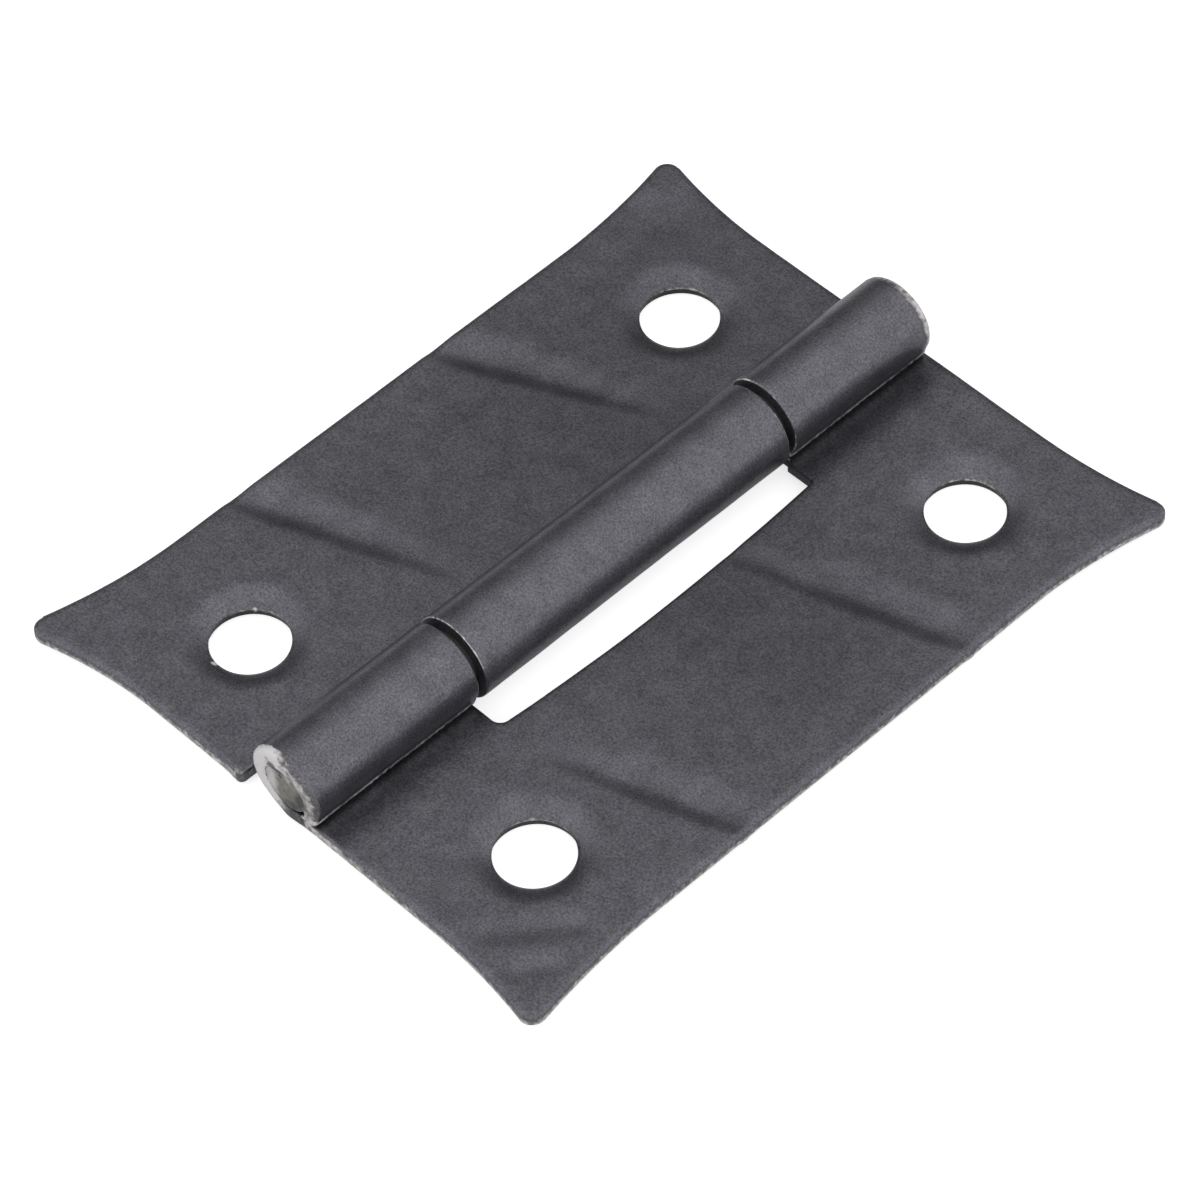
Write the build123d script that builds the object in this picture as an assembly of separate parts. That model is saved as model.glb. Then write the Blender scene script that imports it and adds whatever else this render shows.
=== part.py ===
from build123d import *
import math
import os

# Butt hinge of thin pressed sheet, lying open and flat.
# The pin runs along Y at x = 0. The leaf with the middle knuckle lies towards -X,
# the leaf with the two outer knuckles towards +X. Z = 0 is the table under the hinge.
# Each leaf is made in its own frame first: X away from the pin, underside at Z = 0.

# Sheet and pin
SHEET = 0.62  # thickness of both leaves
PIN_DIAMETER = 2.83
PIN_CLEARANCE = 0.04  # all round, between the pin and the rolled knuckles
PIN_CHAMFER = 0.2
PIN_END_PLAY = 0.05  # between each pin end and the turned-in lip that holds it

# Leaf outline, seen from above
LEAF_LENGTH = 36.5  # along the pin, between the straight short edges
MIDDLE_LEAF_REACH = 14.41  # pin axis to the straight long edge
OUTER_LEAF_REACH = 14.51
MIDDLE_LEAF_SHIFT = -0.23  # the middle leaf's outline sits this far along the pin
LONG_EDGE_FLARE_RUN = 6.85  # last stretch of a long edge, which swings out to the tip
SHORT_EDGE_FLARE_RUN = 6.1  # last stretch of a short edge, which swings out to the tip
TIP_RADIUS = 0.64
# Hand-finished tips, at the -Y and at the +Y end: how far the sharp tip would lie beyond
# the straight long edge and beyond the straight short edge.
MIDDLE_LEAF_TIPS = [(1.31, 1.33), (0.99, 0.96)]
OUTER_LEAF_TIPS = [(0.82, 0.83), (1.18, 0.95)]

# Knuckles
MIDDLE_KNUCKLE_LENGTH = 18.0
MIDDLE_KNUCKLE_SHIFT = 0.24  # its middle lies this far towards +Y
KNUCKLE_GAP = 0.41  # between neighbouring knuckles
CURL_ANGLE = 330  # how far round the pin the sheet is rolled
CURL_END_GAP = 0.06  # from the flattened end of a curl down to its own leaf
LIP_DEPTH = 0.12  # lip that is turned in over the pin at the barrel's ends
LIP_OVERLAP = 0.2  # how far the lip reaches over the pin's edge
NEAR_END_OVERHANG = 0.1  # barrel end at -Y, beyond the leaf's short edge
NEAR_END_RADIUS = 0.2  # rounding of that end
FAR_END_OVERHANG = -0.05  # the same at +Y, where the end stays inside the edge
FAR_END_RADIUS = 0.4

# Room for the other leaf's knuckles
SLOT_CUT_BACK = 3.11  # pin axis to the ends of the slot's outer side
SLOT_BOW = 0.38  # how far the middle of that side bows away from the pin
SLOT_LEDGE = 0.19  # sheet left standing before the outer knuckle at the slot's +Y end
LEDGE_CLEARANCE = 0.1  # between that ledge and the barrel's foot
SLOT_NEAR_RADIUS = 0.5  # outer corner of the slot at its -Y end
SLOT_FAR_RADIUS = 0.12
NOTCH_CUT_BACK = 2.85  # pin axis to the notches beside the middle knuckle's tab
NOTCH_INNER_RADIUS = 0.3
NOTCH_OUTER_RADIUS = 0.45

# Screw holes in pressed dimples
HOLE_DIAMETER = 3.64  # at the upper rim
HOLE_SPACING = 25.69
MIDDLE_LEAF_HOLE_REACH = 8.08  # pin axis to the holes
MIDDLE_LEAF_HOLE_SHIFT = -0.35  # both holes together, along the pin
OUTER_LEAF_HOLE_REACH = 8.82
OUTER_LEAF_HOLE_SHIFT = 0.2
DIMPLE_WIDTH = 1.3  # sloping ring between a hole and the flat sheet
DIMPLE_DEPTH = 0.42
DIMPLE_ANGLE = 27.5  # slope of the ring at the hole's edge, and the flare of the hole's wall
HOLE_LAND = 0.2  # straight part of the hole's wall, below its upper rim

# Slanting grooves pressed across the leaves: a long gentle side towards +Y and a steep
# one towards -Y. Each is (Y where it leaves at the long edge, slant, X of its faint end).
GROOVE_DEPTH = 0.2
GROOVE_GENTLE_SIDE = 2.1
GROOVE_STEEP_SIDE = 0.6
GROOVE_FAINT_SHARE = 0.12  # size of the faint end as a share of the full section
GROOVE_EDGE_SHARE = 0.45  # the same where it leaves the leaf
GROOVE_FULL_INSET = 1.6  # the section is full this far inside the long edge
MIDDLE_LEAF_GROOVES = [(-9.0, 20.5, 4.1), (3.2, 24.3, 3.8)]
OUTER_LEAF_GROOVES = [(7.7, -17.8, 4.8), (-5.7, -18.7, 6.3)]

# Shallow creases across a leaf's corner, from one flared edge to the other. Each is
# (which end of the leaf, distance from the sharp tip, slant, depth, half width).
MIDDLE_LEAF_CREASES = [(1, 4.3, 40.0, 0.1, 1.2)]
OUTER_LEAF_CREASES = [(-1, 5.6, 42.0, 0.06, 0.9), (-1, 3.4, 42.0, 0.05, 0.7)]
CREASE_SPAN = 2.0  # half its length as a share of its distance from the tip

ROUND_STEPS = 3  # straight steps that stand for a small rounding
TOOL_OVERRUN = 0.1  # how far a pressing or cutting shape reaches past what it works on

bore_radius = PIN_DIAMETER / 2 + PIN_CLEARANCE
barrel_radius = bore_radius + SHEET
pin_axis = Axis((0, 0, barrel_radius), (0, 1, 0))
half_length = LEAF_LENGTH / 2
middle_low = MIDDLE_KNUCKLE_SHIFT - MIDDLE_KNUCKLE_LENGTH / 2
middle_high = MIDDLE_KNUCKLE_SHIFT + MIDDLE_KNUCKLE_LENGTH / 2
outer_low = middle_low - KNUCKLE_GAP
outer_high = middle_high + KNUCKLE_GAP
barrel_low = -half_length - NEAR_END_OVERHANG
barrel_high = half_length + FAR_END_OVERHANG


def sharp_tip(reach, tips, end):
    """Where the two flared edges would meet, at the -Y (-1) or +Y (1) end of a leaf."""
    over_long, over_short = tips[0] if end < 0 else tips[1]
    return reach + over_long, end * (half_length + over_short)


def leaf_outline(reach, tips):
    """Outer outline of a leaf: straight edges that flare out to two rounded tips."""
    long_start = half_length - LONG_EDGE_FLARE_RUN
    short_start = reach - SHORT_EDGE_FLARE_RUN
    edges = [Line((reach, -long_start), (reach, long_start))]
    for end in (1, -1):
        tip = sharp_tip(reach, tips, end)
        edges.append(TangentArc((reach, end * long_start), tip, tangent=(0, end)))
        edges.append(TangentArc((short_start, end * half_length), tip, tangent=(1, 0)))
        edges.append(Line((0, end * half_length), (short_start, end * half_length)))
    edges.append(Line((0, -half_length), (0, half_length)))
    outline = make_face(edges)
    for end in (1, -1):
        corner = outline.vertices().sort_by_distance((*sharp_tip(reach, tips, end), 0))[0]
        outline = fillet(corner, TIP_RADIUS)
    return outline


def slot_outline():
    """Slot beside the middle knuckle, with the ledge at its +Y end left standing."""
    slot_high = outer_high - SLOT_LEDGE
    middle = (slot_high + outer_low) / 2
    edges = [
        Polyline(
            (SLOT_CUT_BACK, outer_low),
            (0, outer_low),
            (0, outer_high),
            (barrel_foot() + LEDGE_CLEARANCE, outer_high),
            (barrel_foot() + LEDGE_CLEARANCE, slot_high),
            (SLOT_CUT_BACK, slot_high),
        ),
        ThreePointArc(
            (SLOT_CUT_BACK, slot_high),
            (SLOT_CUT_BACK + SLOT_BOW, middle),
            (SLOT_CUT_BACK, outer_low),
        ),
    ]
    slot = make_face(edges)
    for y, radius in ((outer_low, SLOT_NEAR_RADIUS), (slot_high, SLOT_FAR_RADIUS)):
        corner = slot.vertices().sort_by_distance((SLOT_CUT_BACK, y, 0))[0]
        slot = fillet(corner, radius)
    return slot


def barrel_foot():
    """Distance from the pin axis at which the barrel stands at the sheet's upper face."""
    return math.sqrt(barrel_radius**2 - (barrel_radius - SHEET) ** 2)


def notch_outline(end):
    """Notch that clears one outer knuckle, open at the leaf's short edge."""
    past_edge = half_length + abs(MIDDLE_LEAF_SHIFT)
    low, high = (middle_high, past_edge) if end > 0 else (-past_edge, middle_low)
    inner = low if end > 0 else high
    notch = Pos(NOTCH_CUT_BACK / 2, (low + high) / 2) * Rectangle(NOTCH_CUT_BACK, high - low)
    corner = notch.vertices().sort_by_distance((NOTCH_CUT_BACK, inner, 0))[0]
    return fillet(corner, NOTCH_INNER_RADIUS)


def rounded_corner(start, centre, turn):
    """Points of an arc in a few straight steps: start, turned anticlockwise round centre."""
    arm = Vector(start[0] - centre[0], start[1] - centre[1], 0)
    points = []
    for step in range(ROUND_STEPS + 1):
        point = arm.rotate(Axis.Z, math.degrees(turn) * step / ROUND_STEPS)
        points.append((centre[0] + point.X, centre[1] + point.Y))
    return points


def dimple_tool():
    """Shape of one dimple, below the sheet's upper face, round the Z axis."""
    hole_edge = HOLE_DIAMETER / 2
    slope = math.radians(DIMPLE_ANGLE)
    rim = hole_edge + DIMPLE_WIDTH
    # The flank rolls over from level to the slope round an arc, then runs straight to the hole.
    turn_share = math.tan(slope / 2)
    straight_run = (DIMPLE_DEPTH - DIMPLE_WIDTH * turn_share) / (math.tan(slope) - turn_share)
    arc_radius = (DIMPLE_WIDTH - straight_run) / math.sin(slope)
    flank = rounded_corner((rim, SHEET), (rim, SHEET - arc_radius), slope)
    rest = [
        (hole_edge, SHEET - DIMPLE_DEPTH),
        (0, SHEET - DIMPLE_DEPTH),
        (0, SHEET + TOOL_OVERRUN),
        (rim, SHEET + TOOL_OVERRUN),
    ]
    return revolve(Plane.XZ * make_face(Polyline(*flank, *rest, close=True)), Axis.Z)


def groove_section(depth, gentle, steep):
    """Section of a groove: local X across it, gentle side positive, local Y up."""
    sides = [
        Bezier((-steep, 0), (-steep / 2, 0), (-steep / 2, -depth), (0, -depth)),
        Bezier((0, -depth), (gentle / 2, -depth), (gentle / 2, 0), (gentle, 0)),
    ]
    top = Polyline((gentle, 0), (gentle, TOOL_OVERRUN), (-steep, TOOL_OVERRUN), (-steep, 0))
    return make_face(sides + [top])


def groove_tool(line, depth, gentle, steep):
    """Groove along a straight line, given as points with each section's share of full size."""
    start, end = line[0][0], line[-1][0]
    along = Vector(end[0] - start[0], end[1] - start[1], 0).normalized()
    across = Vector(-along.Y, along.X, 0)
    if across.Y < 0:
        across = -across
    sections = []
    for (x, y), share in line:
        plane = Plane(origin=(x, y, SHEET), x_dir=across, z_dir=across.cross(Vector(0, 0, 1)))
        sections.append(plane * groove_section(depth * share, gentle * share, steep * share))
    return loft(sections, ruled=True)


def pressed_shapes(reach, tips, hole_reach, hole_shift, grooves, creases):
    """Everything pressed into one leaf, as shapes below its upper face."""
    shapes = [Pos(hole_reach, hole_shift + side * HOLE_SPACING / 2) * dimple_tool() for side in (1, -1)]
    for edge_y, slant, faint_x in grooves:
        rise = math.tan(math.radians(slant))
        stations = [
            (reach + GROOVE_FULL_INSET, GROOVE_EDGE_SHARE),
            (reach, GROOVE_EDGE_SHARE),
            (reach - GROOVE_FULL_INSET, 1.0),
            (faint_x, GROOVE_FAINT_SHARE),
        ]
        line = [((x, edge_y + rise * (reach - x)), share) for x, share in stations]
        shapes.append(groove_tool(line, GROOVE_DEPTH, GROOVE_GENTLE_SIDE, GROOVE_STEEP_SIDE))
    for end, from_tip, slant, depth, half_width in creases:
        turn = math.radians(slant)
        tip_x, tip_y = sharp_tip(reach, tips, end)
        middle_x = tip_x - from_tip * math.sin(turn)
        middle_y = tip_y - end * from_tip * math.cos(turn)
        run_x = CREASE_SPAN * from_tip * math.cos(turn)
        run_y = -end * CREASE_SPAN * from_tip * math.sin(turn)
        line = [((middle_x + side * run_x, middle_y + side * run_y), 1.0) for side in (-1, 1)]
        shapes.append(groove_tool(line, depth, half_width, half_width))
    return shapes


def press(face, shapes):
    """The flat blank with each shape pressed down through it, at full thickness."""
    sheet = extrude(face, SHEET)
    reach = extrude(Pos(0, 0, -SHEET) * face, SHEET + TOOL_OVERRUN)
    for shape in shapes:
        sheet = sheet - shape
        sheet = sheet + ((Pos(0, 0, -SHEET) * shape) & reach)
    return sheet


def pierce(sheet, hole_reach, hole_shift):
    """The two screw holes: a short straight wall, then square to the dimples' slope."""
    flare = math.tan(math.radians(DIMPLE_ANGLE))
    upper = SHEET - DIMPLE_DEPTH
    flared = SHEET + TOOL_OVERRUN - HOLE_LAND
    lower_radius = HOLE_DIAMETER / 2 + flare * flared
    centre_z = upper - HOLE_LAND - flared / 2
    punch = Pos(0, 0, centre_z) * Cone(lower_radius, HOLE_DIAMETER / 2, flared)
    straight = Pos(0, 0, upper - HOLE_LAND) * extrude(Circle(HOLE_DIAMETER / 2), SHEET)
    for side in (1, -1):
        centre = Pos(hole_reach, hole_shift + side * HOLE_SPACING / 2)
        sheet = sheet - centre * (punch + straight)
    return sheet


def knuckle(low, high, lip_end, end_radius):
    """Sheet rolled round the pin; lip_end is the end that is rounded and turned in."""
    lip_radius = PIN_DIAMETER / 2 - LIP_OVERLAP
    lip_rise = barrel_radius - lip_radius
    outer, inner = (high, low) if lip_end > 0 else (low, high)
    if lip_end == 0:
        section = Plane.YZ * (Pos((low + high) / 2, SHEET / 2) * Rectangle(high - low, SHEET))
    else:
        back = outer - lip_end * end_radius
        lip_back = outer - lip_end * LIP_DEPTH
        corner = rounded_corner((back, 0), (back, end_radius), lip_end * math.pi / 2)
        rest = [
            (outer, lip_rise),
            (lip_back, lip_rise),
            (lip_back, SHEET),
            (inner, SHEET),
            (inner, 0),
        ]
        section = Plane.YZ * make_face(Polyline(*corner, *rest, close=True))
    rolled = revolve(section, pin_axis, CURL_ANGLE)
    # The end of the curl is squeezed flat, parallel to its leaf.
    flat_height = SHEET + CURL_END_GAP
    trim = Box(barrel_radius, high - low, flat_height, align=(Align.MIN, Align.CENTER, Align.MIN))
    return rolled - Pos(0, (low + high) / 2, 0) * trim


def middle_leaf():
    """Leaf with the middle knuckle, in its own frame."""
    face = Pos(0, MIDDLE_LEAF_SHIFT) * leaf_outline(MIDDLE_LEAF_REACH, MIDDLE_LEAF_TIPS)
    face = face - notch_outline(1) - notch_outline(-1)
    for end in (1, -1):
        corner = (NOTCH_CUT_BACK, end * half_length + MIDDLE_LEAF_SHIFT, 0)
        face = fillet(face.vertices().sort_by_distance(corner)[0], NOTCH_OUTER_RADIUS)
    shapes = pressed_shapes(
        MIDDLE_LEAF_REACH,
        MIDDLE_LEAF_TIPS,
        MIDDLE_LEAF_HOLE_REACH,
        MIDDLE_LEAF_HOLE_SHIFT,
        MIDDLE_LEAF_GROOVES,
        MIDDLE_LEAF_CREASES,
    )
    sheet = pierce(press(face, shapes), MIDDLE_LEAF_HOLE_REACH, MIDDLE_LEAF_HOLE_SHIFT)
    return sheet + knuckle(middle_low, middle_high, 0, 0)


def outer_leaf():
    """Leaf with the two outer knuckles, in its own frame."""
    face = leaf_outline(OUTER_LEAF_REACH, OUTER_LEAF_TIPS) - slot_outline()
    shapes = pressed_shapes(
        OUTER_LEAF_REACH,
        OUTER_LEAF_TIPS,
        OUTER_LEAF_HOLE_REACH,
        OUTER_LEAF_HOLE_SHIFT,
        OUTER_LEAF_GROOVES,
        OUTER_LEAF_CREASES,
    )
    sheet = pierce(press(face, shapes), OUTER_LEAF_HOLE_REACH, OUTER_LEAF_HOLE_SHIFT)
    near = knuckle(barrel_low, outer_low, -1, NEAR_END_RADIUS)
    far = knuckle(outer_high, barrel_high, 1, FAR_END_RADIUS)
    return sheet + near + far


def hinge_pin():
    """Round pin, trapped between the lips at the barrel's ends."""
    length = barrel_high - barrel_low - 2 * (LIP_DEPTH + PIN_END_PLAY)
    pin = Cylinder(PIN_DIAMETER / 2, length)
    pin = chamfer(pin.edges().filter_by(GeomType.CIRCLE), PIN_CHAMFER)
    return Pos(0, (barrel_low + barrel_high) / 2, barrel_radius) * Rot(90, 0, 0) * pin


nodes = {
    "leaf_middle_knuckle": mirror(middle_leaf(), Plane.YZ),
    "leaf_outer_knuckles": outer_leaf(),
    "hinge_pin": hinge_pin(),
}
# The hinge lies on the backs of its dimples, a little above the table.
lift = Pos(0, 0, -min(shape.bounding_box().min.Z for shape in nodes.values()))

os.makedirs("parts", exist_ok=True)
for name, shape in nodes.items():
    export_step(lift * shape, f"parts/{name}.step")
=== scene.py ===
import math
import bpy
import numpy as np
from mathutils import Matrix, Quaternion, Vector, kdtree, noise
from mathutils.geometry import delaunay_2d_cdt


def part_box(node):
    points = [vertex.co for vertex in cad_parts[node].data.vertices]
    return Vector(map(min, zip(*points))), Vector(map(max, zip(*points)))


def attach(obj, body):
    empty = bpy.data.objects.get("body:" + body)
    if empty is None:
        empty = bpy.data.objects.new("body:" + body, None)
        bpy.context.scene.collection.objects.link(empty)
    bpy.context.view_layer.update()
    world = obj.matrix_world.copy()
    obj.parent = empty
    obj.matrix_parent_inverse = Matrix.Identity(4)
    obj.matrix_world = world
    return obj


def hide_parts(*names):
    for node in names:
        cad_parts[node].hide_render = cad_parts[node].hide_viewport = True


# Looks of a small pressed-sheet butt hinge that lies open and flat.
# Sizes are in millimetres. Each leaf is worked out as a flat blank in its own frame: X away
# from the pin, and past X = 0 the tongue that is then rolled round the pin. "turned" is the
# share of a full turn that the tongue has made at a place: 0 at the bottom of the barrel, 0.5 on
# top of it and 0.75 on the side of its own leaf. The middle leaf is mirrored in X at the end.

MM = 0.001
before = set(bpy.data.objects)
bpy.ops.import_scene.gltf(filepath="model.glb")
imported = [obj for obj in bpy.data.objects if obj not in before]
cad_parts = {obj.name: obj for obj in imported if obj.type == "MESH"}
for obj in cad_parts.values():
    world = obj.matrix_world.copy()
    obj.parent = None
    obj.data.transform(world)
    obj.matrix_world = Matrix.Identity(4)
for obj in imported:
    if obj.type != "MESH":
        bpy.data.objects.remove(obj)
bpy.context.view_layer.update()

# Sheet, pin and barrel
SHEET = 0.62
PIN_RADIUS = 1.415
BORE_RADIUS = 1.455
BARREL_RADIUS = 2.075
MIDDLE_OF_SHEET = BARREL_RADIUS - SHEET / 2
FOOT = math.sqrt(BARREL_RADIUS**2 - BORE_RADIUS**2)  # X where the barrel meets the leaf's top
# Height of the flat leaves over the table, which only the backs of the dimples touch
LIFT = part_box("leaf_outer_knuckles")[1].z / MM - 2 * BARREL_RADIUS

# Roll of the tongues round the pin
CURL_ANGLE = math.radians(330)
TONGUE = MIDDLE_OF_SHEET * CURL_ANGLE
CURL_TURN = [250, 275, 293, 309, 322]  # degrees of roll where the radius differs by CURL_PULL
CURL_PULL = [0, -0.05, -0.1, 0.01, 0.0]
ROLL_INSET, DENT_SHARE = 0.02, 0.8  # keep the dented barrel within its radius
FLATTENED_FROM = math.radians(250)
CURL_END_GAP, FLATTENED_SOFTNESS = 0.06, 0.02  # the curl's end is pressed flat over its leaf
END_SLANT, END_SLANT_LENGTH = 0.1, 1.2  # the barrel's near end leans out at its top

# Unevenness as (height, width of its patches, its own seed)
SHEET_WAVES = [(0.022, 6.0, 0), (0.003, 1.3, 3)]
BARREL_DENTS = [(0.008, 1.6, 5), (0.012, 4.5, 7)]
EDGE_ROUGHNESS = (0.004, 0.9, 11)
FLAT_NEAR_BARREL = 2.0  # X where the waves start, and over which they grow

# Outline of the leaves
HALF_LENGTH = 18.25
MIDDLE_REACH, OUTER_REACH = 14.41, 14.51
MIDDLE_SHIFT = -0.23
LONG_FLARE, SHORT_FLARE = 6.85, 6.1
TIP_RADIUS = 0.64
MIDDLE_TIPS = [(1.31, 1.33), (0.99, 0.96)]
OUTER_TIPS = [(0.82, 0.83), (1.18, 0.95)]
MIDDLE_LOW, MIDDLE_HIGH = -8.76, 9.24
OUTER_LOW, OUTER_HIGH = -9.17, 9.65
BARREL_LOW, BARREL_HIGH = -18.35, 18.2
END_EASE = 0.8  # from -X to X of this, the line of a barrel end goes over to the leaf's
SLOT_CUT, SLOT_BOW, LEDGE, LEDGE_GAP = 3.11, 0.38, 0.19, 0.1
SLOT_CORNERS = (0.12, 0.5)
NOTCH_CUT, NOTCH_LIP, NOTCH_BURR, NOTCH_BURR_LENGTH = 2.76, 0.03, 0.1, 1.2
NOTCH_CORNER, FAR_NOTCH_CORNER = 0.3, 0.45
TONGUE_CORNER, LEDGE_CORNER = 0.1, 0.09
NO_CORNER = 99.0

# Outer ends of the barrel, turned in over the pin, and the pin between them
NEAR_ROUND, FAR_ROUND = 0.28, 0.4
LIP_DEPTH, LIP_EDGE = 0.12, 0.04
LIP_RADIUS = 1.215
PIN_FACES = (BARREL_LOW + 0.02, BARREL_HIGH - 0.04)
PIN_SHOULDERS = (BARREL_LOW + LIP_DEPTH + 0.02, BARREL_HIGH - LIP_DEPTH - 0.03)
SHOULDER_ROUND = [(0.03, 0.12), (0.1, 0.03), (0.2, 0.0)]  # (along the pin, in from its radius)
STUB_RADIUS = LIP_RADIUS + 0.012  # of the pin between the lips, a little into them
STUB_ROUND = 0.06
FACE_ROUGHNESS = 0.05

# Screw holes and their dimples
HOLE_RADIUS = 1.76
HOLE_UPRIGHT = 0.07  # the holes are cut upright, so their lower edge stands this far in
HOLE_SPACING = 25.69
MIDDLE_HOLES = (8.08, -0.35)
OUTER_HOLES = (8.82, 0.2)
DIMPLE_WIDTH, DIMPLE_DEPTH, DIMPLE_SLOPE = 1.3, 0.42, math.radians(27.5)
DIMPLE_EASE = 0.09

# Grooves as (Y at the long edge, slant in degrees, X where the groove starts)
MIDDLE_GROOVES = [(-8.86, 20.5, 4.9), (3.0, 24.3, 5.2)]
OUTER_GROOVES = [(7.36, -17.8, 4.2), (-6.14, -18.7, 6.3)]
GROOVE_DEPTH, GENTLE, STEEP = 0.2, 1.7, 1.05  # depth, and widths of the two sides
GROOVE_RISE = [(-1.2, 0.0), (0.0, 0.3), (1.6, 0.42), (3.4, 0.95)]  # (X past its start, share)
GROOVE_SWELL, SWELL_RATE = 0.1, 1.3  # slow change of the depth along it
FULL_INSET = 1.6  # it is at its full depth this far before the long edge
MIDDLE_AT_EDGE, OUTER_AT_EDGE = 0.3, 0.12  # share of the depth left at the long edge
# Creases as (start, end, depth, width on the left, width on the right, fade at the ends)
MIDDLE_CREASES = [((12.3, 16.6), (13.2, 15.7), 0.11, 1.9, 2.6, 1.4)]
OUTER_CREASES = [
    ((10.7, -16.85), (12.9, -14.25), 0.07, 0.9, 0.9, 1.0),
    ((12.75, -17.65), (13.8, -16.25), 0.05, 0.7, 0.7, 0.7),
]

# Rounding of the sheet's cut edges over the upper face: how far in and how far down
FLAT_EDGE = (0.3, 0.12)
SLOT_EDGE = (0.14, 0.08)
HOLE_EDGE = (0.03, 0.12)
ROLLED_EDGE = (0.08, 0.08)
TOP_EDGE = {"long": FLAT_EDGE, "short_near": FLAT_EDGE, "short_far": FLAT_EDGE,
            "notch": SLOT_EDGE, "slot": SLOT_EDGE, "ledge": SLOT_EDGE, "hole": HOLE_EDGE}
OPEN_EDGES = ("long", "short_near", "short_far")
EDGE_ROUND, OPEN_ROUND = 0.08, 0.15  # on the underside: elsewhere, and along the open edges
RING_ANGLES = [math.radians(a) for a in (0, 30, 60, 90)]

# Bare metal along each run of edge: on the cut face and on the rounding beside it
BARE = {"long": (0.4, 0.35), "short_near": (0.4, 0.35), "short_far": (0.35, 0.3),
        "slot": (0.4, 0.3), "ledge": (0.4, 0.3), "notch": (0.5, 0.4), "hole": (0.3, 0.5),
        "barrel_near": (1.0, 1.0), "barrel_far": (1.05, 1.0),
        "middle_near": (0.1, 0.9), "middle_far": (0.1, 0.75),
        "side_near": (0.1, 0.7), "side_far": (0.1, 0.85), "curl_end": (0.7, 1.0)}
INNER_BARE, FAR_INNER_BARE = 0.3, 0.8  # share of it where the rounding runs out
UNDER_WALL, UNDER_ROUNDING = 0.85, 0.7  # along the open edges, low on the side and below
SHORT_NEAR_WALL = ([2, 9], [0.8, 0.4])  # X, and how bare the near short edge is there
# Share of the rounding's bare metal by how far the roll has turned, partly painted highlight where the
# edges catch the light
WEAR_AND_GLINT_BY_TURN = {"middle_near": ([0.27, 0.33, 0.42, 0.5, 0.6], [0.5, 1.05, 1.0, 0.85, 0.9]),
                "side_far": ([0.44, 0.5], [1.0, 0.72]), "barrel_far": ([0.4, 0.6], [0.78, 1.0])}
# The barrel's near end, as (turned, how bare): bare metal, lightest up its left side to the top as
# painted highlight
NEAR_END_BARE_AND_LIT = [(0.0, 0.5), (0.04, 0.82), (0.08, 1.12), (0.14, 1.14), (0.46, 1.12),
                 (0.55, 0.84), (0.7, 0.74), (0.85, 0.78), (0.9, 0.95)]
# Bands of the roll in "turned": (start, width of the rise), (end, width of the fall)
# Painted highlight on the upper left of the barrel's near end, and on a band of bare metal over its
# top beside the end
NEAR_END_HIGHLIGHT = ((0.25, 0.08), (0.53, 0.06))
NEAR_END_RUB_AND_GLINT = ((0.27, 0.07), (0.51, 0.05))
# Painted highlights on bare metal: a thin line along the curl's end, and a fringe on the far side of
# the barrel
CURL_END_RUB_AND_GLINT = ((0.817, 0.01), (0.862, 0.012))
FAR_SIDE_RUB_AND_GLINT = ((0.26, 0.05), (0.37, 0.05))
SIDE_NEAR_LOW = (0.68, 0.06)
BEHIND = (-0.6, 0.8)  # away from the camera: the upper edges of the holes are burred there and lightened as a painted highlight
# Band of the holes' burred far edges, with their painted highlight, and how much it adds to the bare
# metal
BURR_GLINT_BAND, BURR_GLINT_ROUNDING, BURR_GLINT_INNER = (0.6, 0.3), 0.35, 0.45
# Rubbed spots on each leaf: (X, Y, radius, how bare)
MIDDLE_SPOTS = [(3.0, -18.3, 0.25, 0.64), (8.25, -15.08, 0.16, 1.2), (9.25, -11.83, 0.09, 1.0),
                (8.9, -11.65, 0.06, 1.0)]
OUTER_SPOTS = [(1.9, 11.2, 0.07, 0.9), (2.05, 11.9, 0.06, 0.85), (1.8, 14.3, 0.07, 0.9),
               (2.0, 16.4, 0.06, 0.9), (2.3, -10.4, 0.06, 0.75)]
# Marks on the pin's faces: (x, z, half length, half width, tilt in degrees, tone)
# The thin dark marks along the pin's upper rim are painted shade under the lip, the light ones on its
# left painted highlight, the others stains
PIN_MARKS = [(-0.6, 1.08, 0.36, 0.09, 32, -0.45), (-0.65, 0.72, 0.65, 0.1, 10, -0.4),
             (0.8, -0.25, 0.42, 0.3, 60, -0.52), (0.2, 0.72, 0.2, 0.38, 0, 0.28),
             (-0.55, 0.9, 0.5, 0.08, 20, 0.25), (-1.05, -0.15, 1.0, 0.5, 90, 0.42),
             (0.25, -0.95, 0.7, 0.25, 20, -0.34)]
MARK_ON_RING = 1.6  # how strongly the dark ones, stains and painted shade, run on over the barrel's end
# Tone at the pin's cut faces, and along its body, which is painted dark as shade where it shows
# between the knuckles
FACE_TONE, PIN_BODY_SHADE = 0.5, -0.2

# Shade of the coating along each leaf, as (Y, share of the full tone)
MIDDLE_SHADE = [(-17, 0.98), (-10, 0.95), (-4, 0.86), (0, 0.82), (5, 0.74), (10, 0.8), (17, 0.9)]
OUTER_SHADE = [(-16, 0.97), (-8, 0.95), (-3, 0.85), (2, 0.7), (6, 0.78), (10, 0.9), (16, 0.97)]
SHADE_ACROSS = ([10.5, 13.5], [1.0, 0.3])  # X, and the share of that shade there
SHADE_START = (1.5, 2.0)
# Painted shade and dark reflection on the barrel's lower flank: where it starts in "turned", how fast,
# and how much darker
UNDER_CURL, UNDER_CURL_SHADE = (0.68, 0.08), 0.25
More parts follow.
